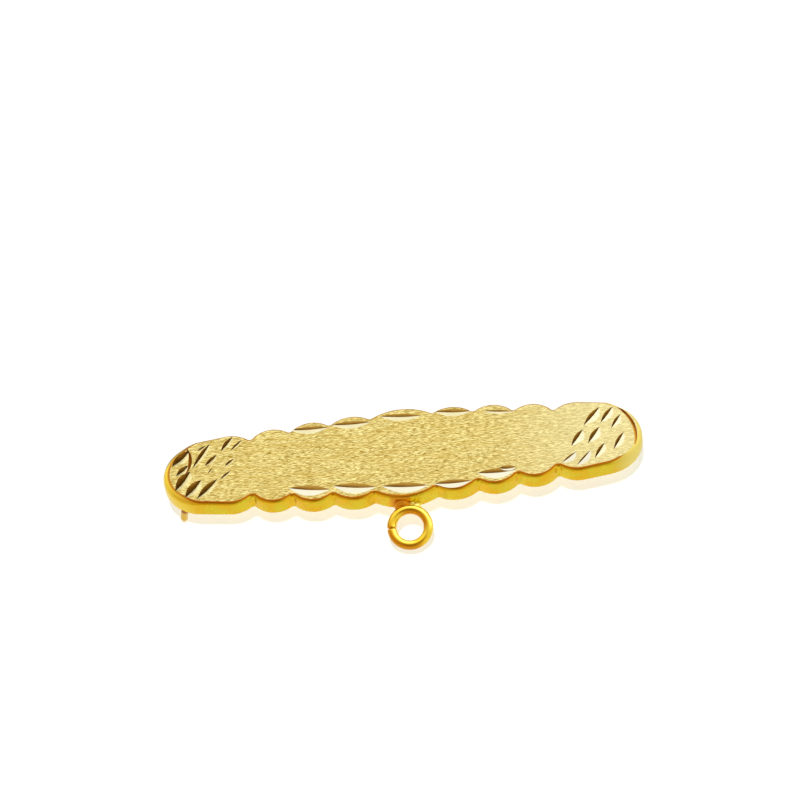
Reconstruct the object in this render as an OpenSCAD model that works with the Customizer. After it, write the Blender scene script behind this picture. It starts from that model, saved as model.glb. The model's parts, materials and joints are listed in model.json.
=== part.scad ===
// Bar brooch: a scalloped gold bar with bright-cut grooves, a ring soldered to
// its lower edge, and a pin between a hinge and a hook behind it.
// X runs along the bar, Y across it and Z up. The origin is on the bar's flat
// back, under the middle of the face. The brooch lies face up on its hinge and
// its hook.

/* [Bar] */
// Distance from the middle of the bar to its right tip
right_reach = 17.5; // [17:0.1:18]
// Distance from the middle of the bar to its left tip
left_reach = 17.7; // [17.2:0.1:18.2]
// Thickness of the bar
bar_thickness = 1.3; // [1.2:0.1:1.8]
// Height of the bar's back above the surface it lies on
back_height = 1.9; // [1.8:0.1:2.4]
// Radius of the round tips
tip_radius = 2.95; // [2.8:0.05:3.1]

/* [Grooves] */
// Slope of a groove's steep flank, in degrees
steep_slope = 23; // [20:1:32]
// Slope of a groove's wide flank, in degrees
wide_slope = 13; // [10:1:18]

/* [Ring] */
// Inner diameter of the soldered ring
ring_bore = 1.96; // [1.6:0.02:2.4]
// Diameter of the ring's wire
ring_wire = 0.7; // [0.6:0.05:0.9]
// Angle by which the ring droops below the bar's plane
ring_droop = 25; // [10:1:30]

/* [Pin] */
// Diameter of the pin's stem
stem_d = 0.6; // [0.5:0.05:0.7]
// Diameter of the hook's wire at its foot
hook_wire = 0.5; // [0.4:0.05:0.55]
// Distance of the hinge from the middle of the bar
hinge_x = 13.5; // [11:0.5:14]
// Distance of the hook from the middle of the bar
hook_x = 16.5; // [15.5:0.1:16.6]

/* [Hidden] */

$fn = 96;
gold = "gold";
face_z = bar_thickness;
rest_z = -back_height;
sink = 0.1;
gap = 0.06;
cut_over = 0.05;

// Notches in a quarter of the outline, each with the height of the scallop
// that ends at it above that scallop's chord
NOTCH_X = 0;
NOTCH_Y = 1;
NOTCH_RISE = 2;
notches = [
    [2.3, 3.48, 0.7],
    [5.3, 3.23, 0.56],
    [8.25, 2.93, 0.66],
    [11.15, 2.6, 0.68],
];

// The end lobe starts at the last notch and runs by a straight edge into the tip
lobe_radius = 2.2;
lobe = [12.75, 1.03];
right_tip = [right_reach - tip_radius, 0];
left_tip = [left_reach - tip_radius, 0];

// The straight edge runs beside the lobe and the tip, a hair inside their
// common tangent so that it crosses both circles
hair = 0.02;
function edge_turn(way) = acos((lobe_radius - tip_radius) / norm(way)) + atan2(way[1], way[0]);
function edge_side(tip) = [cos(edge_turn(tip - lobe)), sin(edge_turn(tip - lobe))];

// The core fills the outline between the arcs and stays inside them
core_inset = 0.4;
function place(notch) = [notch[NOTCH_X], notch[NOTCH_Y]];
function core_quarter(tip) = concat(
    [for (notch = notches) place(notch) - [0, core_inset]],
    [lobe + (lobe_radius - hair) * edge_side(tip), tip + (tip_radius - hair) * edge_side(tip)]
);
left_core = core_quarter(left_tip);
core_half = concat(
    [for (i = [len(left_core) - 1 : -1 : 0]) [-left_core[i][0], left_core[i][1]]],
    core_quarter(right_tip)
);

// Straight grooves: place of the middle, length, direction and depth
CUT_X = 0;
CUT_Y = 1;
CUT_LENGTH = 2;
CUT_TURN = 3;
CUT_DEPTH = 4;

// Grooves beside the lower and the upper edge
lower_cuts = [
    [-7, -2.52, 3.05, -9.6, 0.15],
    [-3.7, -2.72, 3.15, -8.9, 0.15],
    [0, -3.12, 3.35, -5.4, 0.15],
    [3.45, -3.22, 2.7, -1, 0.13],
    [6.7, -2.62, 2.8, -1, 0.15],
    [7.5, -2.37, 1.2, -1, 0.12],
];
upper_cuts = [
    [-6.8, 3.13, 2.8, -1.9, 0.11],
    [-3.7, 3.23, 2.95, -1.4, 0.11],
    [0, 3.48, 3.05, -5.5, 0.11],
    [3.85, 3.43, 2.65, -5.9, 0.11],
    [7.15, 3.03, 2.2, -7.8, 0.06],
];

// Grooves across the left and the right end
left_cuts = [
    [-16.34, 1.48, 1.9, 45, 0.19],
    [-16.25, 0.33, 1.3, 43, 0.13],
    [-16.24, -0.68, 2.1, 56, 0.2],
    [-14.83, 1.53, 2.6, 58, 0.11],
    [-14.8, 2.26, 0.8, 34, 0.05],
    [-14.13, 1.03, 1.3, 46, 0.1],
    [-12.93, 2.43, 1.55, 54, 0.11],
    [-12.23, 2.23, 1.4, 46, 0.06],
    [-12.78, 0.68, 0.9, 41, 0.07],
    [-13.1, -0.47, 1.1, 42, 0.06],
    [-14.2, 0.08, 0.6, 53, 0.04],
    [-15.5, -1.47, 2, 51, 0.19],
    [-14.48, -1.62, 2.3, 47, 0.15],
];
right_cuts = [
    [13.93, 1.66, 2.1, 51, 0.12],
    [15.03, 1.66, 1.75, 55, 0.11],
    [15.67, 0.98, 1.5, 58, 0.09],
    [12.74, -0.22, 1.75, 57, 0.12],
    [13.97, -0.12, 1.75, 57, 0.12],
    [14.3, -1.62, 1.6, 59, 0.1],
    [15.74, -0.87, 1.85, 61, 0.1],
    [12.05, -1.95, 1.4, 40, 0.06],
    [13.1, -2.15, 1.7, 50, 0.06],
];

// The groove that follows the rim of the right tip
rim_cut_center = [13.5, -0.32];
rim_cut_radius = 3.58;
rim_cut_turn = 10;
rim_cut_tilt = 9;
rim_cut_depth = 0.12;
rim_outer_slope = 60;
rim_inner_slope = 30;

ring_radius = (ring_bore + ring_wire) / 2;
ring_x = 0.08;
middle_edge = notches[0][NOTCH_Y] + notches[0][NOTCH_RISE];
joint_gap = 0.03;
joint_y = -middle_edge - joint_gap - ring_wire / 2;
joint_z = 0.32;
solder_reach = 0.62;
solder_radius = 0.36;

stem_z = rest_z + hook_wire + gap + stem_d / 2;
point_start = 0.4;
point_length = 1.1;
point_d = 0.16;
eye_radius = 0.75;
eye_width = 0.8;
ear_width = 0.45;
ear_gap = 0.08;
rivet_d = 0.6;
rivet_head = 0.12;
rivet_head_d = 0.9;
ear_side = eye_width / 2 + ear_gap;
ear_radius = stem_z - rest_z;

hook_bend = 0.45;
hook_lean = 12;
hook_side_lean = 12;
hook_foot_y = -1.95;
hook_end_y = 0.85;
hook_top_d = 0.62;
hook_lip = 0.35;

// Circle through two points, rising by rise above their chord
module arc_disc(from, to, rise) {
    chord = norm(to - from);
    radius = (chord * chord / 4 + rise * rise) / (2 * rise);
    side = [(from - to)[1], (to - from)[0]] / chord;
    center = (from + to) / 2 + side * (rise - radius);
    translate(center) circle(r = radius);
}

module outline() {
    polygon(concat(
        core_half,
        [for (i = [len(core_half) - 1 : -1 : 0]) [core_half[i][0], -core_half[i][1]]]
    ));
    for (y = [0, 1])
        mirror([0, y, 0]) {
            arc_disc([-notches[0][NOTCH_X], notches[0][NOTCH_Y]], place(notches[0]), notches[0][NOTCH_RISE]);
            for (x = [0, 1])
                mirror([x, 0, 0]) {
                    for (i = [1 : len(notches) - 1])
                        arc_disc(place(notches[i - 1]), place(notches[i]), notches[i][NOTCH_RISE]);
                    translate(lobe) circle(r = lobe_radius);
                }
        }
    translate(right_tip) circle(r = tip_radius);
    translate(-left_tip) circle(r = tip_radius);
}

// Ring of V section: its flanks open outwards, the steep one towards +Z
module cutter(radius, reach) {
    rotate_extrude()
        polygon([
            [radius, 0],
            [radius - reach, reach / tan(steep_slope)],
            [radius - reach, -reach / tan(wide_slope)],
        ]);
}

// Straight bright cut along X, with its steep flank towards +Y
module bright_cut(length, depth) {
    radius = (length * length / 4 + depth * depth) / (2 * depth);
    width = 2 * depth / tan(wide_slope);
    intersection() {
        translate([0, 0, radius - depth])
            rotate([-90, 0, 0])
                cutter(radius, 2 * depth);
        translate([-length, -width, -2 * depth])
            cube([2 * length, 2 * width, 2 * depth + cut_over]);
    }
}

module grooves(cuts) {
    for (cut = cuts)
        translate([cut[CUT_X], cut[CUT_Y], face_z])
            rotate(cut[CUT_TURN])
                bright_cut(cut[CUT_LENGTH], cut[CUT_DEPTH]);
}

module rim_cut() {
    reach = 2 * rim_cut_depth;
    translate([rim_cut_center[0], rim_cut_center[1], face_z])
        rotate(rim_cut_turn)
            intersection() {
                translate([rim_cut_radius, 0, -rim_cut_depth])
                    rotate([0, rim_cut_tilt, 0])
                        translate([-rim_cut_radius, 0, 0])
                            rotate_extrude()
                                polygon([
                                    [rim_cut_radius, 0],
                                    [rim_cut_radius + reach / tan(rim_outer_slope), reach],
                                    [rim_cut_radius - reach / tan(rim_inner_slope), reach],
                                ]);
                translate([0, -rim_cut_radius, -reach])
                    cube([2 * rim_cut_radius, 2 * rim_cut_radius, reach + cut_over]);
            }
}

module plate() {
    difference() {
        linear_extrude(bar_thickness) outline();
        grooves(concat(lower_cuts, upper_cuts, left_cuts, right_cuts));
        rim_cut();
    }
}

module ring() {
    translate([ring_x, joint_y, joint_z])
        rotate([ring_droop, 0, 0])
            translate([0, -ring_radius, 0])
                rotate_extrude()
                    translate([ring_radius, 0])
                        circle(d = ring_wire, $fn = 48);
}

// Solder that joins the ring to the wall of the middle scallop
module solder() {
    translate([ring_x, -middle_edge - joint_gap, joint_z]) {
        rotate([0, 90, 0])
            cylinder(r = solder_radius, h = 2 * solder_reach, center = true, $fn = 48);
        for (x = [-solder_reach, solder_reach])
            translate([x, 0, 0]) sphere(r = solder_radius, $fn = 48);
    }
}

module ear(y) {
    translate([hinge_x, y, 0])
        rotate([90, 0, 0])
            linear_extrude(ear_width, center = true)
                union() {
                    translate([0, stem_z]) circle(r = ear_radius);
                    translate([-ear_radius, stem_z]) square([2 * ear_radius, sink - stem_z]);
                }
}

module hinge() {
    for (side = [-1, 1])
        ear(side * (ear_side + ear_width / 2));
    translate([hinge_x, 0, stem_z])
        rotate([90, 0, 0]) {
            cylinder(d = rivet_d, h = 2 * (ear_side + ear_width), center = true);
            for (side = [-1, 1])
                translate([0, 0, side * (ear_side + ear_width + rivet_head / 2)])
                    cylinder(d = rivet_head_d, h = rivet_head, center = true);
        }
}

// Quarter bend of the hook's wire, from a leg above the origin to a run along +Y
module hook_bend() {
    translate([0, hook_bend, hook_bend])
        rotate([0, 90, 0])
            rotate(-90)
                rotate_extrude(angle = 90)
                    translate([hook_bend, 0])
                        circle(d = hook_wire, $fn = 48);
}

// Wire hook, open towards +Y, that the stem's point lies in. Its leg leans out to the bar's lower edge
module hook() {
    foot_z = rest_z + hook_wire / 2;
    translate([-hook_x, hook_foot_y, foot_z + hook_bend]) {
        sphere(d = hook_wire, $fn = 48);
        rotate([hook_lean, hook_side_lean, 0])
            cylinder(d1 = hook_wire, d2 = hook_top_d, h = sink - foot_z - hook_bend, $fn = 48);
    }
    translate([-hook_x, hook_foot_y + hook_bend, foot_z])
        rotate([-90, 0, 0])
            cylinder(d = hook_wire, h = hook_end_y - hook_foot_y - 2 * hook_bend, $fn = 48);
    translate([-hook_x, hook_foot_y, foot_z])
        hook_bend();
    translate([-hook_x, hook_end_y, foot_z])
        mirror([0, 1, 0]) hook_bend();
    translate([-hook_x, hook_end_y, foot_z + hook_bend])
        cylinder(d = hook_wire, h = hook_lip, $fn = 48);
    translate([-hook_x, hook_end_y, foot_z + hook_bend + hook_lip])
        sphere(d = hook_wire, $fn = 48);
}

module bar() {
    color(gold)
        union() {
            plate();
            ring();
            solder();
            hinge();
            hook();
        }
}

module pin_stem() {
    shaft_length = hinge_x + hook_x - point_start;
    color("goldenrod")
        difference() {
            translate([hinge_x, 0, stem_z]) {
                rotate([90, 0, 0]) cylinder(r = eye_radius, h = eye_width, center = true);
                rotate([0, -90, 0]) {
                    cylinder(d = stem_d, h = shaft_length);
                    translate([0, 0, shaft_length])
                        cylinder(d1 = stem_d, d2 = point_d, h = point_length);
                }
            }
            translate([hinge_x, 0, stem_z])
                rotate([90, 0, 0])
                    cylinder(d = rivet_d + 2 * gap, h = eye_width + 2 * cut_over, center = true);
        }
}

bar();
pin_stem();
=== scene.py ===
import json
import math
import bmesh
import bpy
from mathutils import Matrix, Quaternion, Vector

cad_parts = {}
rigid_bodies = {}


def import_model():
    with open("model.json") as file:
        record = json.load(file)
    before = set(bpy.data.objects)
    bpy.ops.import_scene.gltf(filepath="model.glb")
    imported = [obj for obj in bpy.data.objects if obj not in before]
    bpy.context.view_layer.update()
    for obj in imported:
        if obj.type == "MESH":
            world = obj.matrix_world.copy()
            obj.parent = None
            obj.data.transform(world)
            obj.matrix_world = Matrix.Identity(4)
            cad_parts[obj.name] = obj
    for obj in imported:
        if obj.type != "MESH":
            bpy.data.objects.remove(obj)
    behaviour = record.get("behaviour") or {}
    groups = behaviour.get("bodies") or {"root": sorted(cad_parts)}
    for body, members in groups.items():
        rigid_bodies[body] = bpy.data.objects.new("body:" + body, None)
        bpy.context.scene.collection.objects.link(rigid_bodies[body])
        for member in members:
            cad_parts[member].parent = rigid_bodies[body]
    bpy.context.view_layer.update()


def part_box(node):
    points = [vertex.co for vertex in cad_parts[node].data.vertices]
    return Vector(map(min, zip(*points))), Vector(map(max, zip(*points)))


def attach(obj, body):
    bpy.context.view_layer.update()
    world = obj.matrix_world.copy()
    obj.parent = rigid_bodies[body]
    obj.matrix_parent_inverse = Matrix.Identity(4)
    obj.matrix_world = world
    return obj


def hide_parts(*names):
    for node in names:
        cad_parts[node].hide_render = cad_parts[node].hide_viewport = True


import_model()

# Sizes are in millimetres, and are turned into metres as a mesh is made. Angles are in degrees.
MM = 0.001
bar_low, bar_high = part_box("bar")
LEFT_END = bar_low[0] / MM
RIGHT_END = bar_high[0] / MM
FACE_Z = bar_high[2] / MM
REST_Z = bar_low[2] / MM

# The photo's camera: its elevation and turn as seen from the brooch, its roll, the point that it
# looks at, its distance from there, and its lens
CAMERA_ELEVATION = 50
CAMERA_TURN = 3.68
CAMERA_ROLL = -8.48
CAMERA_AIM = (0.02, 4.93, 1.4)
CAMERA_DISTANCE = 389.4
CAMERA_LENS = 238

# The light tent that the metal mirrors, and its zones: direction, the cosines at which a zone
# begins and is full, and its light. They are brighter behind and at the right, dimmer and warm at
# the front left, dark and warm high in front where the photo's camera stands, and a bright panel
# low behind.
TENT_LIGHT = (1.0, 0.98, 0.95)
TENT_ZONES = [
    ((0.35, 0.8, 0.5), 0.2, 0.6, (1.5, 1.5, 1.5)),
    ((-0.5, -0.8, 0.3), 0.3, 0.8, (0.8, 0.62, 0.38)),
    ((0, -0.64, 0.77), 0.9, 0.965, (0.35, 0.22, 0.06)),
    ((-0.02, 0.93, 0.35), 0.95, 0.99, (1.6, 1.6, 1.6)),
]

# The lamps above the floor: name, tilt towards the front, strength, colour, angle across, and
# whether they cast shadows
LAMPS = [
    ("fill", 0, 3.3, (0.71, 0.735, 0.70), 20, False),
    ("soft_top", 0, 0.12, (1.0, 0.9, 0.7), 60, True),
    ("key", 18, 1.25, (0.84, 0.84, 1.0), 2, True),
]

# Half the floor's width, in metres, and the gap that keeps it clear of what stands on it
FLOOR_HALF = 2.0
FLOOR_GAP = 0.004

# The upper right quarter of the outline, as in the CAD: each notch, the rise of the scallop that
# ends there, and the centre and radius of the end lobe. The other quarters mirror it. Points on
# an arc are OUTLINE_STEP apart at most.
NOTCHES = [(2.3, 3.48), (5.3, 3.23), (8.25, 2.93), (11.15, 2.6)]
RISES = [0.7, 0.56, 0.66, 0.68]
LOBE = ((12.75, 1.03), 2.2)
TIP_RADIUS = 2.95
NOTCH_FILLET = 0.25
MIDDLE_EDGE = NOTCHES[0][1] + RISES[0]
OUTLINE_STEP = 0.14
LEAST_ARC_STEPS = 6
NOTCH_STEPS = 14

# The rounded edges. Along the scallops the rounding goes from LOWER_ROUND to UPPER_ROUND, as the
# Y part of the edge's direction goes from LOWER_ROUND_Y to UPPER_ROUND_Y. It widens towards the
# tips, from TIP_ROUND_START to TIP_ROUND_FULL. At the right tip it stops after SHOULDER_TURN.
LOWER_ROUND = 0.26
UPPER_ROUND = 0.12
LOWER_ROUND_Y = -0.3
UPPER_ROUND_Y = 0.5
LEFT_TIP_ROUND = 0.5
RIGHT_TIP_ROUND = 0.8
TIP_ROUND_START = 14.8
TIP_ROUND_FULL = 16.6
SHOULDER_TURN = 52
ROUND_STEPS = 12
BACK_ROUND = 0.12
BACK_STEPS = 3

# Slopes of the flanks of the straight grooves. A steep flank is hollow: its slope falls
# from the bottom of the groove to its brim. A wide flank has one slope, which is WIDE_SLOPE in
# LOWER_CUTS and UPPER_CUTS. END_SKEW puts the deepest place of LEFT_CUTS and RIGHT_CUTS a little
# beyond the middle.
STEEP_SLOPES = (31, 26, 21, 17)
WIDE_SLOPE = 13
LEFT_WIDE_SLOPE = 20
RIGHT_WIDE_SLOPE = 12
BRIGHT_WIDE_SLOPE = 8
END_SKEW = 0.25

# Straight grooves, each as the x and y of its middle, its length, direction and depth. They lie
# beside the lower and the upper edge, and across the ends. BRIGHT_CUTS are two at the right end
# whose wide flanks are as bright as those beside the edges.
LOWER_CUTS = [
    (-7.0, -2.52, 3.05, -9.6, 0.15),
    (-3.7, -2.72, 3.15, -8.9, 0.15),
    (0.0, -3.12, 3.35, -5.4, 0.15),
    (3.45, -3.22, 2.7, -1.0, 0.13),
    (6.7, -2.62, 2.8, -1.0, 0.15),
    (7.5, -2.37, 1.2, -1.0, 0.12),
]
UPPER_CUTS = [
    (-6.8, 3.13, 2.8, -1.9, 0.11),
    (-3.7, 3.23, 2.95, -1.4, 0.11),
    (0.0, 3.48, 3.05, -5.5, 0.11),
    (3.85, 3.43, 2.65, -5.9, 0.11),
    (7.15, 3.03, 2.2, -7.8, 0.06),
]
LEFT_CUTS = [
    (-16.34, 1.48, 1.9, 45, 0.19),
    (-16.25, 0.33, 1.3, 43, 0.13),
    (-16.24, -0.68, 2.1, 56, 0.2),
    (-14.83, 1.53, 2.6, 58, 0.11),
    (-14.8, 2.26, 0.8, 34, 0.05),
    (-14.13, 1.03, 1.3, 46, 0.1),
    (-12.93, 2.43, 1.55, 54, 0.11),
    (-12.23, 2.23, 1.4, 46, 0.06),
    (-12.78, 0.68, 0.9, 41, 0.07),
    (-13.1, -0.47, 1.1, 42, 0.06),
    (-14.2, 0.08, 0.6, 53, 0.04),
    (-15.5, -1.47, 2.0, 51, 0.19),
    (-14.48, -1.62, 2.3, 47, 0.15),
]
RIGHT_CUTS = [
    (13.93, 1.66, 2.1, 51, 0.12),
    (15.03, 1.66, 1.75, 55, 0.11),
    (15.67, 0.98, 1.5, 58, 0.09),
    (12.74, -0.22, 1.75, 57, 0.12),
    (13.97, -0.12, 1.75, 57, 0.12),
    (14.3, -1.62, 1.6, 59, 0.1),
    (15.74, -0.87, 1.85, 61, 0.1),
]
BRIGHT_CUTS = [
    (12.05, -1.95, 1.4, 40, 0.06),
    (13.1, -2.15, 1.7, 50, 0.06),
]

# Thin grooves along arcs, at the right tip and at the left end: centre, radius, first and last
# direction, depth, outer and inner slope
ARC_CUTS = [
    ((13.5, -0.32), 3.58, 62, -32, 0.11, 62, 30),
    ((-18.12, 1.32), 2.47, 29, -38, 0.17, 50, 55),
]

# A groove's knife: its steps, how far it runs past the groove, where 1 is the groove's end, and
# how far it stands above the face
KNIFE_STEPS = 28
KNIFE_END = 1.06
KNIFE_ABOVE = 0.06

# Of the plate's faces, the satin one faces up and is over LEAST_FACE square millimetres. Edges
# that turn by more than PLATE_SHARP are shaded as sharp.
FACES_UP = 0.999
LEAST_FACE = 1.0
PLATE_SHARP = 9.5

# The ring under the middle scallop. Its two ends are SEAM_GAP apart at the left, and SEAM_STEP
# out of line.
RING_BORE = 1.96
RING_WIRE = 0.7
RING_DROOP = 25
RING_RADIUS = (RING_BORE + RING_WIRE) / 2
JOINT_GAP = 0.03
RING_X = 0.08
JOINT_Y = -MIDDLE_EDGE - JOINT_GAP - RING_WIRE / 2
JOINT_Z = 0.32
SEAM_GAP = 0.016
SEAM_STEP = 0.1
SEAM_BEVEL = 0.08
RING_STEPS = 120

# The solder: a core in the ring's wire, to both sides of the joint by SOLDER_REACH, and lumps, each
# as its place from the joint at the wall, its radius, and its stretch along X, Y and Z
SOLDER_REACH = 46
SOLDER_STEPS = 8
SOLDER_INSET = 0.02
SOLDER_BEVEL = 0.2
SOLDER_LUMPS = [
    (-0.48, 0.0, 0.1, 0.42, (1.4, 0.62, 1.3)),
    (-0.66, -0.2, -0.02, 0.36, (0.9, 0.9, 0.8)),
    (0.58, -0.14, 0.0, 0.36, (0.95, 0.9, 0.9)),
    (0.1, 0.0, 0.0, 0.36, (2.4, 0.5, 0.95)),
]
SOLDER_VOXEL = 0.035
SOLDER_ROUNDS = 12

# Steps that round off an end of a wire
WIRE_END_STEPS = 4

# The pin, its hinge and its hook. The hook's leg leans down from its root to the foot, and its
# end turns up by HOOK_LIP. The dome at its root is HOOK_TOP_RISE of its radius high. GAP is the
# clearance round the rivet, and between the stem and the hook. The stem starts in the eye's metal,
# NECK_CLEAR outside the bore, and its neck is thicker by NECK_SWELL.
STEM_RADIUS = 0.3
HOOK_RADIUS = 0.25
GAP = 0.06
HINGE_X = 13.5
HOOK_X = -16.5
HOOK_FOOT_Y = -1.95
HOOK_END_Y = 0.85
HOOK_BEND = 0.45
HOOK_LIP = 0.35
HOOK_LEAN = 12
HOOK_SIDE_LEAN = 12
HOOK_ROOT_Z = 0.06
HOOK_TOP_RADIUS = 0.31
HOOK_TOP_RISE = 0.4
HOOK_DOME_STEPS = 6
HOOK_LEG_STEPS = 12
HOOK_BEND_STEPS = 12
HOOK_TIP_STEPS = 8
POINT_START = 0.4
POINT_LENGTH = 1.1
POINT_RADIUS = 0.08
POINT_CURVE = 1.3
POINT_STEPS = 12
STEM_STEPS = 39
NECK_LENGTH = 0.6
NECK_CLEAR = 0.14
NECK_SWELL = 0.09
NECK_STEPS = 12
STEM_Z = REST_Z + 2 * HOOK_RADIUS + GAP + STEM_RADIUS
EYE_RADIUS = 0.75
EYE_WIDTH = 0.8
EYE_BEVEL = 0.07
EYE_STEPS = 48
EAR_WIDTH = 0.45
EAR_GAP = 0.08
EAR_SINK = 0.06
EAR_BEVEL = 0.05
EAR_BEVEL_MIDDLE = 0.015
EAR_STEPS = 32
RIVET_RADIUS = 0.3
RIVET_HEAD = 0.12
RIVET_HEAD_RADIUS = 0.45
RIVET_HEAD_SINK = 0.02


def make_camera():
    """The camera of the photograph: above the table in front, turned and rolled a little."""
    elevation, turn = math.radians(CAMERA_ELEVATION), math.radians(CAMERA_TURN)
    back = Vector((
        math.sin(turn) * math.cos(elevation),
        -math.cos(turn) * math.cos(elevation),
        math.sin(elevation),
    ))
    camera = bpy.data.objects.new("camera", bpy.data.cameras.new("camera"))
    camera.data.lens = CAMERA_LENS
    camera.location = (Vector(CAMERA_AIM) + back * CAMERA_DISTANCE) * MM
    camera.rotation_mode = "QUATERNION"
    roll = Quaternion((0, 0, 1), math.radians(CAMERA_ROLL))
    camera.rotation_quaternion = (-back).to_track_quat("-Z", "Y") @ roll
    bpy.context.collection.objects.link(camera)
    bpy.context.scene.camera = camera


def add(tree, kind, values=None, **settings):
    """A new node, with its settings, and values or links for its inputs."""
    made = tree.nodes.new("ShaderNode" + kind)
    for name, value in settings.items():
        setattr(made, name, value)
    for name, value in (values or {}).items():
        if isinstance(value, bpy.types.NodeSocket):
            tree.links.new(value, made.inputs[name])
        else:
            made.inputs[name].default_value = value
    return made


def soft_step(tree, value, start, end):
    """0 below start, 1 above end, and smooth between them."""
    made = add(tree, "MapRange", {"Value": value, "From Min": start, "From Max": end},
               interpolation_type="SMOOTHSTEP")
    return made.outputs["Result"]


def times(tree, a, b):
    return add(tree, "Math", {0: a, 1: b}, operation="MULTIPLY").outputs[0]


def plus_share(tree, base, value, share):
    """base, with a share of value added to it."""
    return add(tree, "Math", {0: value, 1: share, 2: base}, operation="MULTIPLY_ADD").outputs[0]


def away_from(tree, value, middle):
    """How far value is from middle, to either side."""
    offset = add(tree, "Math", {0: value, 1: middle}, operation="SUBTRACT").outputs[0]
    return add(tree, "Math", {0: offset}, operation="ABSOLUTE").outputs[0]


def blend_colors(tree, factor, a, b):
    """Colour a where factor is 0, and b where it is 1. Either may be another node's colour."""
    made = add(tree, "Mix", {"Factor": factor}, data_type="RGBA")
    # The node's first six inputs and two outputs are for its factor, for numbers and for vectors
    for socket, value in ((made.inputs[6], a), (made.inputs[7], b)):
        if isinstance(value, bpy.types.NodeSocket):
            tree.links.new(value, socket)
        else:
            socket.default_value = (*value, 1)
    return made.outputs[2]


def ramp(tree, value, stops):
    """The colour at value between stops, each a value and its colour, in rising order."""
    made = add(tree, "ValToRGB", {"Fac": value})
    elements = made.color_ramp.elements
    elements.remove(elements[1])
    for number, (position, color) in enumerate(stops):
        stop = elements.new(position) if number else elements[0]
        stop.position, stop.color = position, (*color, 1)
    return made.outputs["Color"]


def studio_world():
    """The light tent round the brooch, with its zones. It gives no diffuse light."""
    world = bpy.data.worlds.new("studio")
    world.use_nodes = True
    tree = world.node_tree
    tree.nodes.clear()
    direction = add(tree, "TexCoord").outputs["Generated"]

    def around(axis, start, full):
        """1 around the direction axis, and 0 far from it."""
        made = add(tree, "VectorMath", {0: direction, 1: Vector(axis).normalized()},
                   operation="DOT_PRODUCT")
        return soft_step(tree, made.outputs["Value"], start, full)

    color = TENT_LIGHT
    for axis, start, full, light in TENT_ZONES:
        color = blend_colors(tree, around(axis, start, full), color, light)
    background = add(tree, "Background", {"Color": color})
    output = add(tree, "OutputWorld", {"Surface": background.outputs[0]})
    output.is_active_output = True
    bpy.context.scene.world = world
    world.cycles_visibility.diffuse = False


def studio_floor():
    """A plain white floor under the brooch."""
    mesh = bpy.data.meshes.new("floor")
    z = (REST_Z - FLOOR_GAP) * MM
    corners = [(FLOOR_HALF * x, FLOOR_HALF * y, z) for x, y in ((-1, -1), (1, -1), (1, 1), (-1, 1))]
    mesh.from_pydata(corners, [], [(0, 1, 2, 3)])
    floor = bpy.data.objects.new("floor", mesh)
    bpy.context.collection.objects.link(floor)
    material = bpy.data.materials.new("white_floor")
    material.use_nodes = True
    shader = material.node_tree.nodes["Principled BSDF"]
    shader.inputs["Base Color"].default_value = (0.9, 0.9, 0.9, 1)
    shader.inputs["Roughness"].default_value = 0.5
    shader.inputs["Specular IOR Level"].default_value = 0.1
    mesh.materials.append(material)


def make_lamps():
    """Lamps that light the floor from above, and that the metal doesn't mirror."""
    for name, tilt, strength, color, across, casts_shadows in LAMPS:
        data = bpy.data.lights.new(name, "SUN")
        data.energy = strength
        data.color = color
        data.angle = math.radians(across)
        data.use_shadow = casts_shadows
        lamp = bpy.data.objects.new(name, data)
        lamp.rotation_euler = (math.radians(tilt), 0, 0)
        lamp.visible_glossy = False
        bpy.context.collection.objects.link(lamp)


def noise_of(tree, scale, detail, shift=0.0):
    """A noise over the object, with scale cycles in each millimetre along X, Y and Z."""
    place = add(tree, "TexCoord").outputs["Object"]
    mapped = add(tree, "Mapping", {"Vector": place, "Location": (shift, -shift, 0),
                                   "Scale": [s / MM for s in scale]}).outputs[0]
    return add(tree, "TexNoise", {"Vector": mapped, "Scale": 1, "Detail": detail, "Roughness": 0.6,
                                  "Distortion": 0.4}).outputs["Fac"]


def soft_patches(tree):
    """0 to 1 in soft patches, the same in every direction."""
    return soft_step(tree, noise_of(tree, (0.7, 0.7, 0.7), 2), 0.35, 0.65)


def metal_shader(name, color_of, roughness, spread, scale, bump, softer_of=None):
    """A metal whose colour comes from color_of(tree).

    Its roughness varies by spread, and its relief is bump high, over a noise of scale.
    softer_of(tree) gives a roughness that is added from place to place."""
    material = bpy.data.materials.new(name)
    material.use_nodes = True
    tree = material.node_tree
    shader = tree.nodes["Principled BSDF"]
    shader.inputs["Metallic"].default_value = 1
    tree.links.new(color_of(tree), shader.inputs["Base Color"])
    grain = noise_of(tree, scale, 3, 5.0)
    limits = {"From Min": 0.3, "From Max": 0.7, "To Min": roughness - spread, "To Max": roughness + spread}
    rough = add(tree, "MapRange", {"Value": grain, **limits}).outputs["Result"]
    if softer_of:
        rough = add(tree, "Math", {0: rough, 1: softer_of(tree)}, operation="ADD").outputs[0]
    tree.links.new(rough, shader.inputs["Roughness"])
    relief = add(tree, "Bump", {"Height": grain, "Strength": 1.0, "Distance": bump * MM})
    tree.links.new(relief.outputs[0], shader.inputs["Normal"])
    return material


def place_of(tree):
    """X, Y and Z of a point on the object, in metres."""
    return add(tree, "SeparateXYZ", {0: add(tree, "TexCoord").outputs["Object"]}).outputs


def facing_of(tree):
    """X, Y and Z of the direction that the surface faces."""
    return add(tree, "SeparateXYZ", {0: add(tree, "NewGeometry").outputs["Normal"]}).outputs


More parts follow.
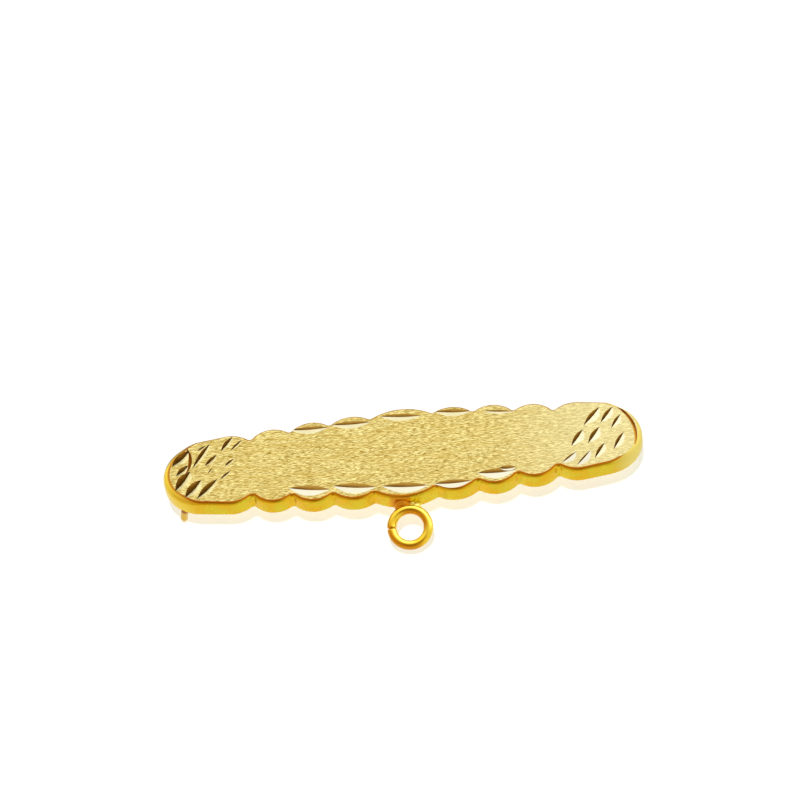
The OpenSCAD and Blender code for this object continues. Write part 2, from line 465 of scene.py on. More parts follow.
def satin_gold():
    """The satin face: short fine brush strokes along the bar, with their glints painted into the colour, over
    patches, and paler to the right.
    """
    def color_of(tree):
        strokes = soft_step(tree, noise_of(tree, (2.8, 24.0, 24.0), 2), 0.40, 0.60)
        # Brush strokes with painted glints: their dark and bright colours stand for the glints of their
        # relief
        brush_strokes_and_glints = blend_colors(tree, strokes, (0.275, 0.172, 0.015), (0.81, 0.705, 0.295))
        patches = soft_step(tree, noise_of(tree, (0.5, 6.0, 6.0), 2, 3.0), 0.4, 0.65)
        uneven = blend_colors(tree, times(tree, patches, 0.5), brush_strokes_and_glints, (0.455, 0.30, 0.048))
        paler = soft_step(tree, place_of(tree)["X"], 4 * MM, 16 * MM)
        return blend_colors(tree, times(tree, paler, 0.45), uneven, (0.70, 0.65, 0.36))
    return metal_shader("satin_gold", color_of, 0.36, 0.05, (3.0, 22.0, 22.0), 0.004)


def bright_cut_highlight_gold():
    """Bright wide flanks of grooves, their brightness a painted highlight: cream in the lower half of the
    face, more golden in the upper.
    """
    def color_of(tree):
        patches = soft_patches(tree)
        # Painted highlight: the pale cream and gold stand for the glare of the polished flanks
        lower = blend_colors(tree, patches, (0.60, 0.565, 0.41), (0.62, 0.59, 0.45))
        upper = blend_colors(tree, patches, (0.57, 0.51, 0.29), (0.60, 0.55, 0.34))
        return blend_colors(tree, soft_step(tree, place_of(tree)["Y"], -1 * MM, 1 * MM), lower, upper)
    return metal_shader("bright_cut_highlight_gold", color_of, 0.15, 0.02, (3.0, 3.0, 3.0), 0.0004)


def soft_cut_highlight_gold():
    """Soft wide flanks of grooves across the ends: pale with painted highlight at the bottom, and like the
    face at the top.
    """
    def color_of(tree):
        place = place_of(tree)
        grain = soft_step(tree, noise_of(tree, (3.0, 8.0, 8.0), 2), 0.35, 0.65)
        # Painted highlight: the pale colours at the flanks' bottoms stand for their glare
        left = blend_colors(tree, grain, (0.63, 0.53, 0.22), (0.80, 0.71, 0.38))
        right = blend_colors(tree, grain, (0.66, 0.61, 0.38), (0.78, 0.74, 0.51))
        pale = blend_colors(tree, soft_step(tree, place["X"], -1 * MM, 1 * MM), left, right)
        top = blend_colors(tree, grain, (0.50, 0.37, 0.11), (0.69, 0.57, 0.24))
        below = soft_step(tree, place["Z"], (FACE_Z + 0.01) * MM, (FACE_Z - 0.05) * MM)
        return blend_colors(tree, below, top, pale)
    return metal_shader("soft_cut_highlight_gold", color_of, 0.3, 0.03, (3.0, 10.0, 10.0), 0.003)


def painted_shade_gold():
    """The steep flanks of the grooves: gold with painted shade, deep brown, palest where they are flattest.

    The painted shade is deeper on flanks that face right, and on those at the left end, than their slope
    alone gives."""
    def color_of(tree):
        facing = facing_of(tree)
        # Painted shade: darker where a flank is steeper or faces right
        level = plus_share(tree, facing["Z"], facing["X"], -0.35)
        left = soft_step(tree, place_of(tree)["X"], -9 * MM, -11 * MM)
        level = plus_share(tree, level, left, -0.04)
        level = plus_share(tree, level, noise_of(tree, (1.5, 6.0, 6.0), 2), 0.12)
        return ramp(tree, level, ((0.74, (0.04, 0.015, 0.001)), (0.84, (0.12, 0.05, 0.004)),
                                  (0.91, (0.27, 0.13, 0.015)), (1.0, (0.46, 0.28, 0.06))))
    return metal_shader("painted_shade_gold", color_of, 0.25, 0.03, (3.0, 3.0, 3.0), 0.0006)


def plain_gold(name, pale, deep, roughness):
    """Polished gold, whose colour shifts a little from place to place."""
    def color_of(tree):
        return blend_colors(tree, soft_patches(tree), deep, pale)
    return metal_shader(name, color_of, roughness, 0.03, (3.0, 3.0, 3.0), 0.0006)


def edge_gold():
    """The bar's edges: deep polished gold along the scallops, paler at the tips, and worn soft at the right.

    The plain back is more even. A brown line of painted shade runs along the front edge of the face, and
    the upper rounding and the wall beside the ring have painted shade too."""
    def color_of(tree):
        x, y, z = place_of(tree)
        facing = facing_of(tree)
        ny, nz = facing["Y"], facing["Z"]
        walls = blend_colors(tree, soft_patches(tree), (0.72, 0.42, 0.014), (0.66, 0.50, 0.026))
        back = times(tree, soft_step(tree, nz, -0.3, -0.8), 0.75)
        walls = blend_colors(tree, back, walls, (0.69, 0.46, 0.03))
        tip = soft_step(tree, away_from(tree, x, 0), TIP_ROUND_START * MM, TIP_ROUND_FULL * MM)
        tips = blend_colors(tree, soft_step(tree, x, -1 * MM, 1 * MM), (0.80, 0.56, 0.05), (0.75, 0.60, 0.14))
        color = blend_colors(tree, tip, walls, tips)

        # Painted shade: the rounding along the upper edge is darker, apart from the right tip
        upper = times(tree, soft_step(tree, ny, 0.12, 0.3), soft_step(tree, nz, 0.1, 0.35))
        upper = times(tree, upper, soft_step(tree, x, 15.2 * MM, 13.8 * MM))
        color = blend_colors(tree, upper, color, (0.30, 0.21, 0.04))

        # The brown line is painted shade. It lies where the rounding is nearly level, and is narrower at the
        # left tip
        left_tip = soft_step(tree, x, -TIP_ROUND_START * MM, -TIP_ROUND_FULL * MM)
        level = plus_share(tree, nz, left_tip, -0.13)
        line = times(tree, soft_step(tree, level, 0.74, 0.9), soft_step(tree, ny, 0.45, 0.1))
        line = times(tree, line, soft_step(tree, x, 16.75 * MM, 15.5 * MM))
        left_end = soft_step(tree, x, -12 * MM, -14 * MM)
        painted_line_shade = blend_colors(tree, left_end, (0.36, 0.11, 0.003), (0.30, 0.075, 0.003))
        color = blend_colors(tree, line, color, painted_line_shade)

        # Painted shade, orange brown, on the front wall round the left of the joint
        near = soft_step(tree, away_from(tree, x, -0.45 * MM), 0.95 * MM, 0.55 * MM)
        joint_shade = times(tree, near, soft_step(tree, y, -3.5 * MM, -3.9 * MM))
        joint_shade = times(tree, joint_shade, soft_step(tree, z, 1.35 * MM, 1.15 * MM))
        return blend_colors(tree, joint_shade, color, (0.62, 0.26, 0.015))

    def softer_of(tree):
        return times(tree, soft_step(tree, place_of(tree)["X"], 14.6 * MM, 15.8 * MM), 0.16)
    return metal_shader("edge_gold", color_of, 0.28, 0.03, (2.0, 2.0, 2.0), 0.0006, softer_of)


def wire_gold():
    """The ring's gold, with a painted highlight, pale, where it faces up, and painted shade, orange, where it
    faces down and to the left.
    """
    def color_of(tree):
        color = blend_colors(tree, soft_patches(tree), (0.86, 0.53, 0.03), (0.80, 0.56, 0.05))
        normal = add(tree, "NewGeometry").outputs["Normal"]
        # Painted highlight where the wire faces up, and painted orange shade where it faces down and to the
        # left
        for axis, start, full, tint in (
            ((0.50, 0.24, 0.83), 0.70, 0.86, (1.0, 0.86, 0.16)),
            ((-0.62, -0.78, -0.1), 0.25, 0.65, (0.62, 0.26, 0.012)),
        ):
            toward = add(tree, "VectorMath", {0: normal, 1: axis}, operation="DOT_PRODUCT")
            share = soft_step(tree, toward.outputs["Value"], start, full)
            color = blend_colors(tree, share, color, tint)
        return color
    return metal_shader("wire_gold", color_of, 0.2, 0.03, (3.0, 3.0, 3.0), 0.0006)


def solder_gold():
    """Solder, with painted shade, dull orange, at its left, and a painted highlight, bright, at its right."""
    def color_of(tree):
        # Painted shade at the left, and a painted highlight at the right
        right = soft_step(tree, place_of(tree)["X"], 0.15 * MM, 0.4 * MM)
        return blend_colors(tree, right, (0.66, 0.27, 0.015), (1.0, 0.86, 0.22))
    return metal_shader("solder_gold", color_of, 0.42, 0.05, (3.0, 3.0, 3.0), 0.001)


def hook_gold():
    """The hook's gold, with painted shadow at its root, under the plate."""
    def color_of(tree):
        color = blend_colors(tree, soft_patches(tree), (0.62, 0.37, 0.012), (0.60, 0.40, 0.018))
        # Painted shadow at the root, under the plate
        root = soft_step(tree, place_of(tree)["Z"], -0.34 * MM, -0.22 * MM)
        return blend_colors(tree, root, color, (0.30, 0.09, 0.004))
    return metal_shader("hook_gold", color_of, 0.25, 0.03, (3.0, 3.0, 3.0), 0.0006)


def new_piece(name, mesh, node, materials):
    """A piece of the scene in place of a CAD node, which rides on the one body."""
    piece = bpy.data.objects.new(name, mesh)
    bpy.context.collection.objects.link(piece)
    for material in materials:
        mesh.materials.append(material)
    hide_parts(node)
    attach(piece, "root")
    return piece


def mesh_of(name, points, faces):
    """A mesh from points in millimetres, with its faces turned outwards."""
    mesh = bpy.data.meshes.new(name)
    mesh.from_pydata([Vector(p) * MM for p in points], [], faces)
    made = bmesh.new()
    made.from_mesh(mesh)
    bmesh.ops.recalc_face_normals(made, faces=made.faces)
    made.to_mesh(mesh)
    made.free()
    return mesh


def loft(rings, closed_ends=True):
    """Points and faces of a skin over rings of equally many points, with flat faces at both ends."""
    points = [p for ring in rings for p in ring]
    count = len(rings[0])
    faces = []
    for level in range(len(rings) - 1):
        low = level * count
        for i in range(count):
            j = (i + 1) % count
            faces.append((low + i, low + j, low + count + j, low + count + i))
    if closed_ends:
        faces.append(tuple(range(count - 1, -1, -1)))
        last = (len(rings) - 1) * count
        faces.append(tuple(range(last, last + count)))
    return points, faces


def joined(parts):
    """The points and faces of several parts as one."""
    points, faces = [], []
    for part_points, part_faces in parts:
        base = len(points)
        points += part_points
        faces += [tuple(base + i for i in face) for face in part_faces]
    return points, faces


def smooth(piece, sharp_angle):
    """Smooth shading, apart from edges sharper than sharp_angle."""
    piece.data.shade_smooth()
    piece.data.set_sharp_from_angle(angle=math.radians(sharp_angle))


def apply_modifiers(piece):
    """Keeps the mesh that the modifiers make, and drops the modifiers."""
    graph = bpy.context.evaluated_depsgraph_get()
    mesh = bpy.data.meshes.new_from_object(piece.evaluated_get(graph), depsgraph=graph)
    piece.modifiers.clear()
    piece.data = mesh


# The outline

def scallop_circle(start, end, rise):
    """Centre and radius of the arc that rises over the chord from start to end."""
    start, end = Vector(start), Vector(end)
    chord = (end - start).length
    radius = (chord * chord / 4 + rise ** 2) / (2 * rise)
    out = Vector((start.y - end.y, end.x - start.x)) / chord
    return (start + end) / 2 + out * (rise - radius), radius


def outline_circles():
    """The circles round the whole outline, counter-clockwise from the right tip."""
    middle = scallop_circle((-NOTCHES[0][0], NOTCHES[0][1]), NOTCHES[0], RISES[0])
    quarter = [scallop_circle(*ends) for ends in zip(NOTCHES, NOTCHES[1:], RISES[1:])]
    quarter.append((Vector(LOBE[0]), LOBE[1]))
    upper = quarter[::-1] + [middle] + [(Vector((-c.x, c.y)), r) for c, r in quarter]
    lower = [(Vector((c.x, -c.y)), r) for c, r in upper[::-1]]
    right_tip = (Vector((RIGHT_END - TIP_RADIUS, 0)), TIP_RADIUS)
    left_tip = (Vector((LEFT_END + TIP_RADIUS, 0)), TIP_RADIUS)
    return [right_tip] + upper + [left_tip] + lower


def tangent_side(a, b):
    """Outward direction of the line that touches both circles on the right of the way from a to b."""
    (ca, ra), (cb, rb) = a, b
    along = (cb - ca).normalized()
    lean = (ra - rb) / (cb - ca).length
    return along * lean + Vector((along.y, -along.x)) * math.sqrt(1 - lean * lean)


def fillet_center(a, b):
    """Centre of the small circle that fills the notch between circles a and b."""
    (ca, ra), (cb, rb) = a, b
    ra, rb = ra + NOTCH_FILLET, rb + NOTCH_FILLET
    apart = (cb - ca).length
    along = (cb - ca) / apart
    reach = (ra * ra - rb * rb + apart * apart) / (2 * apart)
    return ca + along * reach + Vector((along.y, -along.x)) * math.sqrt(ra * ra - reach * reach)


def sweep(start, end, turn):
    """The angle of start, and the angle from there to end, turning by the sign of turn."""
    first = math.atan2(start.y, start.x)
    angle = math.atan2(end.y, end.x) - first
    angle = angle % (2 * math.pi) if turn > 0 else -((-angle) % (2 * math.pi))
    return first, angle


def outline_points():
    """Points round the outline, each as (centre, direction, radius, sign).

    The sign is 1 on an arc that bulges outwards, and -1 in the fillet of a notch."""
    circles = outline_circles()
    count = len(circles)
    tips = (0, count // 2)
    joints = []
    for i in range(count):
        a, b = circles[i], circles[(i + 1) % count]
        if i in tips or (i + 1) % count in tips:
            side = tangent_side(a, b)
            joints.append((side, side, None))
        else:
            center = fillet_center(a, b)
            joints.append(((center - a[0]).normalized(), (center - b[0]).normalized(), center))
    points = []
    for i, (center, radius) in enumerate(circles):
        first, angle = sweep(joints[i - 1][1], joints[i][0], 1)
        steps = max(LEAST_ARC_STEPS, math.ceil(radius * angle / OUTLINE_STEP))
        for k in range(steps + 1):
            a = first + angle * k / steps
            points.append((center, Vector((math.cos(a), math.sin(a))), radius, 1))
        notch = joints[i][2]
        if notch is not None:
            first, angle = sweep(-joints[i][0], -joints[i][1], -1)
            for k in range(1, NOTCH_STEPS):
                a = first + angle * k / NOTCH_STEPS
                points.append((notch, Vector((math.cos(a), math.sin(a))), NOTCH_FILLET, -1))
    return points


def ease(value, start, end):
    """0 at start, 1 at end, and smooth between them."""
    t = min(1, max(0, (value - start) / (end - start)))
    return t * t * (3 - 2 * t)


def edge_round(place, out):
    """Size of the rounding at a place on the outline, with the direction out of the metal."""
    upper = ease(out.y, LOWER_ROUND_Y, UPPER_ROUND_Y)
    along = LOWER_ROUND + (UPPER_ROUND - LOWER_ROUND) * upper
    tip = LEFT_TIP_ROUND if place.x < 0 else RIGHT_TIP_ROUND
    return along + (tip - along) * ease(abs(place.x), TIP_ROUND_START, TIP_ROUND_FULL)


def plate_mesh():
    """The scalloped plate with rounded edges, before the grooves are cut.

    Round the right tip the rounding stops at a steep shoulder that meets the face."""
    outline = outline_points()

    def ring(offset, rounding=None):
        """The outline moved in and up: offset(size, turn) gives both for each point."""
        made = []
        for center, direction, radius, sign in outline:
            edge = center + direction * radius
            size = rounding or edge_round(edge, direction * sign)
            right_tip = ease(edge.x, TIP_ROUND_START, TIP_ROUND_FULL)
            turn = math.radians(90 + (SHOULDER_TURN - 90) * right_tip)
            inset, z = offset(size, turn)
            place = center + direction * (radius - sign * inset)
            made.append((place.x, place.y, z))
        return made

    def back(size, a):
        return size * (1 - math.sin(a)), size * (1 - math.cos(a))

    def front(size, turn, share):
        a = turn * share
        return size * (1 - math.cos(a)), FACE_Z - size * (math.sin(turn) - math.sin(a))

    rings = []
    for k in range(BACK_STEPS + 1):
        a = math.pi / 2 * k / BACK_STEPS
        rings.append(ring(lambda size, turn, a=a: back(size, a), BACK_ROUND))
    for k in range(ROUND_STEPS + 1):
        rings.append(ring(lambda size, turn, share=k / ROUND_STEPS: front(size, turn, share)))
    return mesh_of("bar_plate", *loft(rings))


def flank(height, slopes):
    """The points of a flank from the bottom of a groove, as (distance, height) pairs."""
    points, reach = [], 0.0
    for k, slope in enumerate(slopes):
        reach += height / len(slopes) / math.tan(math.radians(slope))
        points.append((reach, height * (k + 1) / len(slopes)))
    return points


def cutter(name, path, depth, skew, left_slopes, right_slopes, left_material, right_material):
    """A closed knife along path(u), deepest in the middle, or beyond it with a skew.

    path gives the place and the direction at u, and the groove runs from u = -1 to u = 1. The
    slopes and materials are those of the flanks on both sides of the way, and the slopes run from
    the bottom upwards."""
    rings = []
    for k in range(KNIFE_STEPS + 1):
        u = KNIFE_END * (2 * k / KNIFE_STEPS - 1)
        place, way = path(u)
        left = Vector((-way.y, way.x))
        low = -depth * (1 - u * u) * (1 + skew * u)
        ring = [(place.x, place.y, FACE_Z + low)]
        for reach, rise in flank(KNIFE_ABOVE - low, left_slopes):
            ring.append((*(place + left * reach), FACE_Z + low + rise))
        for reach, rise in reversed(flank(KNIFE_ABOVE - low, right_slopes)):
            ring.append((*(place - left * reach), FACE_Z + low + rise))
        rings.append(ring)
    mesh = mesh_of(name, *loft(rings))
    mesh.materials.append(left_material)
    mesh.materials.append(right_material)
    sides = len(left_slopes) + 1 + len(right_slopes)
    # The last two faces close the ends, which stand above the metal
    for face in list(mesh.polygons)[:-2]:
        if face.index % sides >= len(left_slopes):
            face.material_index = 1
    return bpy.data.objects.new(name, mesh)


def straight_path(x, y, length, turn):
    """Along a straight groove through its middle (x, y)."""
    center = Vector((x, y))
    way = Vector((math.cos(math.radians(turn)), math.sin(math.radians(turn))))
    return lambda u: (center + way * (u * length / 2), way)


def arc_path(center, radius, first, last):
    """Clockwise along an arc, so that its outer side is on the left of the way."""
    def place(u):
        angle = math.radians((first + last) / 2 + u * (last - first) / 2)
        out = Vector((math.cos(angle), math.sin(angle)))
        return Vector(center) + out * radius, Vector((out.y, -out.x))
    return place


def groove_cutters(shade, cut, soft_cut, dark):
    """The knives of all grooves: shade for steep flanks and dark for arcs, both gold with painted shade, and
    cut and soft_cut for wide ones, pale with painted highlight.

    Only the outer flank of the left arc has the material of the steep flanks."""
    knives = []
    for cuts, skew, wide_slope, wide in (
        (LOWER_CUTS, 0, WIDE_SLOPE, cut),
        (UPPER_CUTS, 0, WIDE_SLOPE, cut),
        (LEFT_CUTS, END_SKEW, LEFT_WIDE_SLOPE, soft_cut),
        (RIGHT_CUTS, END_SKEW, RIGHT_WIDE_SLOPE, soft_cut),
        (BRIGHT_CUTS, 0, BRIGHT_WIDE_SLOPE, cut),
    ):
        for x, y, length, turn, depth in cuts:
            path = straight_path(x, y, length, turn)
            knives.append((path, depth, skew, STEEP_SLOPES, (wide_slope,), shade, wide))
    for arc, outer_material in zip(ARC_CUTS, (dark, shade)):
        center, radius, first, last, depth, outer, inner = arc
        path = arc_path(center, radius, first, last)
        knives.append((path, depth, 0, (outer,), (inner,), outer_material, dark))
    return [cutter(f"knife_{i}", *knife) for i, knife in enumerate(knives)]


def make_plate(satin, edge, grooves):
    """The plate: satin on its flat face, polished at its edges and back, and cut by its grooves."""
    plate = new_piece("bar_plate", plate_mesh(), "bar", [edge, satin, *grooves])
    for face in plate.data.polygons:
        if face.normal.z > FACES_UP and face.area > LEAST_FACE * MM * MM:
            face.material_index = 1
    knives = bpy.data.collections.new("knives")
    bpy.context.scene.collection.children.link(knives)
    for knife in groove_cutters(*grooves):
        knives.objects.link(knife)
    carve = plate.modifiers.new("carve", "BOOLEAN")
    carve.operation = "DIFFERENCE"
    carve.operand_type = "COLLECTION"
    carve.collection = knives
    carve.solver = "EXACT"
    carve.material_mode = "TRANSFER"
    apply_modifiers(plate)
    for knife in list(knives.objects):
        bpy.data.objects.remove(knife)
    bpy.data.collections.remove(knives)
    smooth(plate, PLATE_SHARP)
    weigh = plate.modifiers.new("weigh", "WEIGHTED_NORMAL")
    weigh.keep_sharp = True
    weigh.weight = 100
    apply_modifiers(plate)


# Wire pieces

def tube(path, radii, sides):
    """Rings of a round wire along path, with one radius for each point."""
    ways = []
    for i in range(len(path)):
        before, after = path[max(i - 1, 0)], path[min(i + 1, len(path) - 1)]
        ways.append((after - before).normalized())
    side = ways[0].orthogonal().normalized()
    rings = []
    for place, way, radius in zip(path, ways, radii):
        side = (side - way * side.dot(way)).normalized()
        up = way.cross(side)
        ring = []
        for k in range(sides):
            a = 2 * math.pi * k / sides
            ring.append(place + (side * math.cos(a) + up * math.sin(a)) * radius)
        rings.append(ring)
    return rings


def rounded_ends(path, radius, bevel):
    """The path with extra points near its ends, and the radii that round them off."""
    first = (path[0] - path[1]).normalized()
    last = (path[-1] - path[-2]).normalized()
    head, tail, small = [], [], []
    for k in range(WIRE_END_STEPS):
        a = math.pi / 2 * k / WIRE_END_STEPS
        reach = bevel * math.cos(a)
        head.append(path[0] + first * reach)
        tail.append(path[-1] + last * reach)
        small.append(radius - bevel + bevel * math.sin(a))
    return head + path + tail[::-1], small + [radius] * len(path) + small[::-1]


def ring_point(angle, lift=0):
    """A point in the middle of the ring's wire, at an angle round its drooping plane and off it by lift."""
    tilt = Matrix.Rotation(math.radians(RING_DROOP), 3, "X")
    center = Vector((RING_X, JOINT_Y, JOINT_Z)) + tilt @ Vector((0, -RING_RADIUS, 0))
    return center + tilt @ Vector((RING_RADIUS * math.cos(angle), RING_RADIUS * math.sin(angle), lift))


def make_ring(polished):
    """The soldered wire ring, bent round until its two ends nearly meet at the left."""
    open_angle = (SEAM_GAP / 2 + SEAM_BEVEL) / RING_RADIUS
    path = []
    for k in range(RING_STEPS + 1):
        share = k / RING_STEPS
        a = -math.pi + open_angle + 2 * (math.pi - open_angle) * share
        path.append(ring_point(a, SEAM_STEP * (share - 0.5)))
    path, radii = rounded_ends(path, RING_WIRE / 2, SEAM_BEVEL)
    mesh = mesh_of("hanging_ring", *loft(tube(path, radii, 28)))
    ring = new_piece("hanging_ring", mesh, "bar", [polished])
    smooth(ring, 40)


def ball(center, radius, stretch):
    """Points and faces of a stretched ball, for forms that are melted together."""
    made = bmesh.new()
    bmesh.ops.create_uvsphere(made, u_segments=32, v_segments=20, radius=1)
    points = []
    for v in made.verts:
        points.append(Vector(center) + Vector([v.co[i] * radius * stretch[i] for i in range(3)]))
    faces = [tuple(v.index for v in f.verts) for f in made.faces]
    made.free()
    return points, faces


def melt(name, parts, voxel, rounds):
    """One mesh from overlapping closed parts, melted together and smoothed."""
    piece = bpy.data.objects.new(name, mesh_of(name, *joined(parts)))
    bpy.context.collection.objects.link(piece)
    remesh = piece.modifiers.new("melt", "REMESH")
    remesh.mode = "VOXEL"
    remesh.voxel_size = voxel * MM
    soften = piece.modifiers.new("soften", "SMOOTH")
    soften.factor = 0.5
    soften.iterations = rounds
    apply_modifiers(piece)
    mesh = piece.data
    bpy.data.objects.remove(piece)
    return mesh


def make_solder(polished):
    """Solder that has run between the ring and the wall of the middle scallop."""
    arc = []
    for k in range(2 * SOLDER_STEPS + 1):
        arc.append(ring_point(math.radians(90 + SOLDER_REACH * (k / SOLDER_STEPS - 1))))
    path, radii = rounded_ends(arc, RING_WIRE / 2 - SOLDER_INSET, SOLDER_BEVEL)
    parts = [loft(tube(path, radii, 24))]
    for x, y, z, radius, stretch in SOLDER_LUMPS:
        parts.append(ball((RING_X + x, -MIDDLE_EDGE + y, JOINT_Z + z), radius, stretch))
    mesh = melt("solder", parts, SOLDER_VOXEL, SOLDER_ROUNDS)
    solder = new_piece("solder", mesh, "bar", [polished])
    smooth(solder, 60)


def make_hook(polished):
    """The wire hook under the left end, which holds the point of the stem."""
    bend = HOOK_BEND
    foot_z = REST_Z + HOOK_RADIUS
    lean = math.tan(math.radians(HOOK_LEAN))
    side_lean = math.tan(math.radians(HOOK_SIDE_LEAN))

    def leg(z):
        """A point of the leaning leg at height z."""
        rise = z - foot_z - bend
        return Vector((HOOK_X + side_lean * rise, HOOK_FOOT_Y - lean * rise, z))

    path, radii = [], []
    for k in range(1, HOOK_DOME_STEPS):
        a = math.pi / 2 * k / HOOK_DOME_STEPS
        path.append(leg(HOOK_ROOT_Z + HOOK_TOP_RADIUS * HOOK_TOP_RISE * math.cos(a)))
        radii.append(HOOK_TOP_RADIUS * math.sin(a))
    for k in range(HOOK_LEG_STEPS):
        share = k / HOOK_LEG_STEPS
        path.append(leg(HOOK_ROOT_Z + (foot_z + bend - HOOK_ROOT_Z) * share))
        radii.append(HOOK_TOP_RADIUS + (HOOK_RADIUS - HOOK_TOP_RADIUS) * share)
    for k in range(1, HOOK_BEND_STEPS + 1):
        a = math.pi / 2 * k / HOOK_BEND_STEPS
        z = foot_z + bend * (1 - math.sin(a))
        path.append(Vector((HOOK_X, HOOK_FOOT_Y + bend * (1 - math.cos(a)), z)))
    for k in range(HOOK_BEND_STEPS, -1, -1):
        a = math.pi / 2 * k / HOOK_BEND_STEPS
        z = foot_z + bend * (1 - math.sin(a))
        path.append(Vector((HOOK_X, HOOK_END_Y - bend * (1 - math.cos(a)), z)))
    path.append(Vector((HOOK_X, HOOK_END_Y, foot_z + bend + HOOK_LIP)))
    radii += [HOOK_RADIUS] * (len(path) - len(radii))
    for k in range(1, HOOK_TIP_STEPS):
        a = math.pi / 2 * k / HOOK_TIP_STEPS
        z = foot_z + bend + HOOK_LIP + HOOK_RADIUS * math.sin(a)
        path.append(Vector((HOOK_X, HOOK_END_Y, z)))
        radii.append(HOOK_RADIUS * math.cos(a))
    mesh = mesh_of("hook", *loft(tube(path, radii, 20)))
    hook = new_piece("hook", mesh, "bar", [polished])
    smooth(hook, 50)


def turned(profile, center, steps):
    """A closed form turned about an axis along Y: profile holds (radius, y) pairs of a closed section."""
    rings = []
    for k in range(steps):
        a = 2 * math.pi * k / steps
        rings.append([
            (center[0] + r * math.cos(a), center[1] + y, center[2] + r * math.sin(a)) for r, y in profile
        ])
    points, faces = loft(rings, closed_ends=False)
    count, last = len(profile), (steps - 1) * len(profile)
    for i in range(count):
        j = (i + 1) % count
        faces.append((last + i, last + j, j, i))
    return points, faces


def make_hinge(polished):
    """Two ears soldered under the right end, and the rivet through them."""
    ear_radius = STEM_Z - REST_Z
    half = EAR_WIDTH / 2
    parts = []
    for side in (-1, 1):
        middle = side * (EYE_WIDTH / 2 + EAR_GAP + EAR_WIDTH / 2)
        rings = []
        for inset, y in (
            (EAR_BEVEL, -half),
            (EAR_BEVEL_MIDDLE, -half + EAR_BEVEL_MIDDLE),
            (0, -half + EAR_BEVEL),
            (0, half - EAR_BEVEL),
            (EAR_BEVEL_MIDDLE, half - EAR_BEVEL_MIDDLE),
            (EAR_BEVEL, half),
        ):
            ring = [(HINGE_X + ear_radius - inset, middle + y, EAR_SINK)]
            for k in range(EAR_STEPS + 1):
                a = -math.pi * k / EAR_STEPS
                ring.append((HINGE_X + (ear_radius - inset) * math.cos(a), middle + y,
                             STEM_Z + (ear_radius - inset) * math.sin(a)))
            ring.append((HINGE_X - ear_radius + inset, middle + y, EAR_SINK))
            rings.append(ring)
        parts.append(loft(rings))
    outside = EYE_WIDTH / 2 + EAR_GAP + EAR_WIDTH
    path = [Vector((HINGE_X, y, STEM_Z)) for y in (-outside, outside)]
    parts.append(loft(tube(path, [RIVET_RADIUS] * 2, 32)))
    for side in (-1, 1):
        head, radii = [], []
        for k in range(9):
            # The last ring stops short of the pole, so that it keeps a radius
            a = math.pi / 2 * k / 8.5
            rise = (RIVET_HEAD + RIVET_HEAD_SINK) * math.sin(a)
            head.append(Vector((HINGE_X, side * (outside - RIVET_HEAD_SINK + rise), STEM_Z)))
            radii.append(RIVET_HEAD_RADIUS * math.cos(a))
        parts.append(loft(tube(head, radii, 32)))
    hinge = new_piece("hinge", mesh_of("hinge", *joined(parts)), "bar", [polished])
    smooth(hinge, 35)


def fuse(name, parts, node, materials):
    """One piece from closed parts that run into each other, joined without inner walls."""
    objects = []
    for i, part in enumerate(parts):
        objects.append(bpy.data.objects.new(f"{name}_{i}", mesh_of(f"{name}_{i}", *part)))
    piece = new_piece(name, objects[0].data, node, materials)
    others = bpy.data.collections.new(name)
    bpy.context.scene.collection.children.link(others)
    for other in objects[1:]:
        others.objects.link(other)
    join = piece.modifiers.new("join", "BOOLEAN")
    join.operation = "UNION"
    join.operand_type = "COLLECTION"
    join.collection = others
    join.solver = "EXACT"
    apply_modifiers(piece)
    for other in objects:
        bpy.data.objects.remove(other)
    bpy.data.collections.remove(others)
    return piece


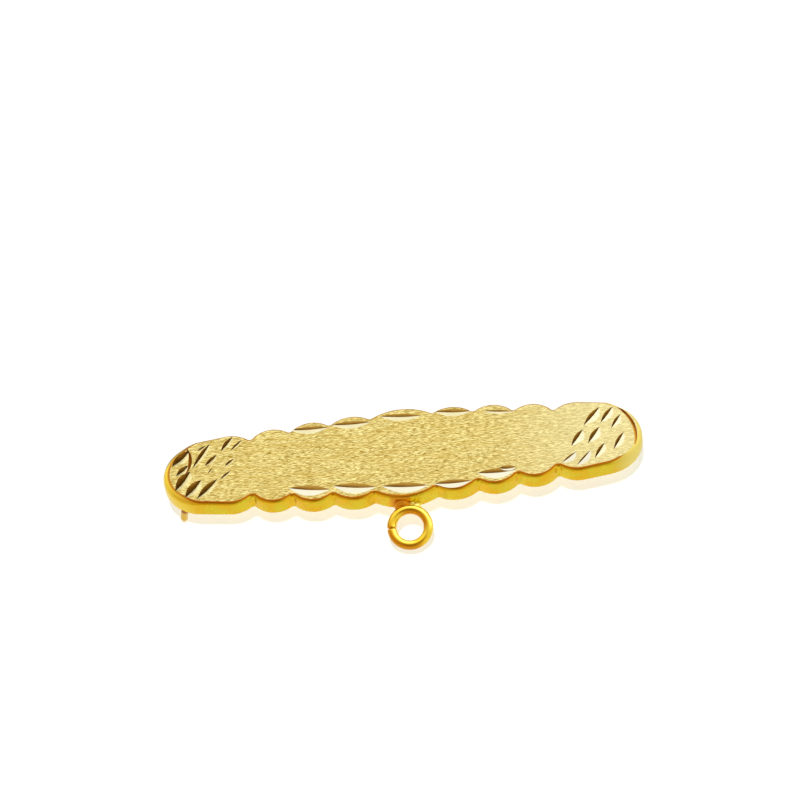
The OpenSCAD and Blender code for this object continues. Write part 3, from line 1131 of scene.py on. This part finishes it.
def make_stem(polished):
    """The pin's stem: a wire with an eye at the hinge, ground to a point at the hook."""
    bore = RIVET_RADIUS + GAP
    half = EYE_WIDTH / 2
    bevel = EYE_BEVEL
    profile = []
    for r, y, first in (
        (EYE_RADIUS - bevel, half - bevel, 0),
        (bore + bevel, half - bevel, 90),
        (bore + bevel, bevel - half, 180),
        (EYE_RADIUS - bevel, bevel - half, 270),
    ):
        for k in range(5):
            a = math.radians(first + 22.5 * k)
            profile.append((r + bevel * math.cos(a), y + bevel * math.sin(a)))
    eye = turned(profile, (HINGE_X, 0, STEM_Z), EYE_STEPS)
    point_from = HOOK_X + POINT_START
    neck_to = HINGE_X - EYE_RADIUS - NECK_LENGTH
    path, radii = [], []
    for k in range(NECK_STEPS + 1):
        share = k / NECK_STEPS
        x = HINGE_X - bore - NECK_CLEAR + (neck_to - HINGE_X + bore + NECK_CLEAR) * share
        path.append(Vector((x, 0, STEM_Z)))
        radii.append(STEM_RADIUS + NECK_SWELL * (1 - ease(share, 0.2, 1)))
    for k in range(1, STEM_STEPS + 1):
        path.append(Vector((neck_to + (point_from - neck_to) * k / STEM_STEPS, 0, STEM_Z)))
        radii.append(STEM_RADIUS)
    for k in range(1, POINT_STEPS + 1):
        share = k / POINT_STEPS
        path.append(Vector((point_from - POINT_LENGTH * share, 0, STEM_Z)))
        radii.append(STEM_RADIUS + (POINT_RADIUS - STEM_RADIUS) * share ** POINT_CURVE)
    stem = fuse("pin_wire", [eye, loft(tube(path, radii, 28))], "pin_stem", [polished])
    smooth(stem, 40)


def main():
    make_camera()
    bpy.context.scene.view_settings.view_transform = "Standard"
    studio_world()
    studio_floor()
    make_lamps()
    polished = plain_gold("polished_gold", (0.68, 0.48, 0.045), (0.74, 0.42, 0.03), 0.2)
    # Gold with painted shade, for the thin arc grooves
    dark = plain_gold("groove_shade_gold", (0.50, 0.25, 0.03), (0.38, 0.17, 0.015), 0.3)
    pin = plain_gold("pin_gold", (0.72, 0.52, 0.08), (0.66, 0.44, 0.05), 0.2)
    make_plate(satin_gold(), edge_gold(), (painted_shade_gold(), bright_cut_highlight_gold(), soft_cut_highlight_gold(), dark))
    make_ring(wire_gold())
    make_solder(solder_gold())
    make_hook(hook_gold())
    make_hinge(polished)
    make_stem(pin)


main()
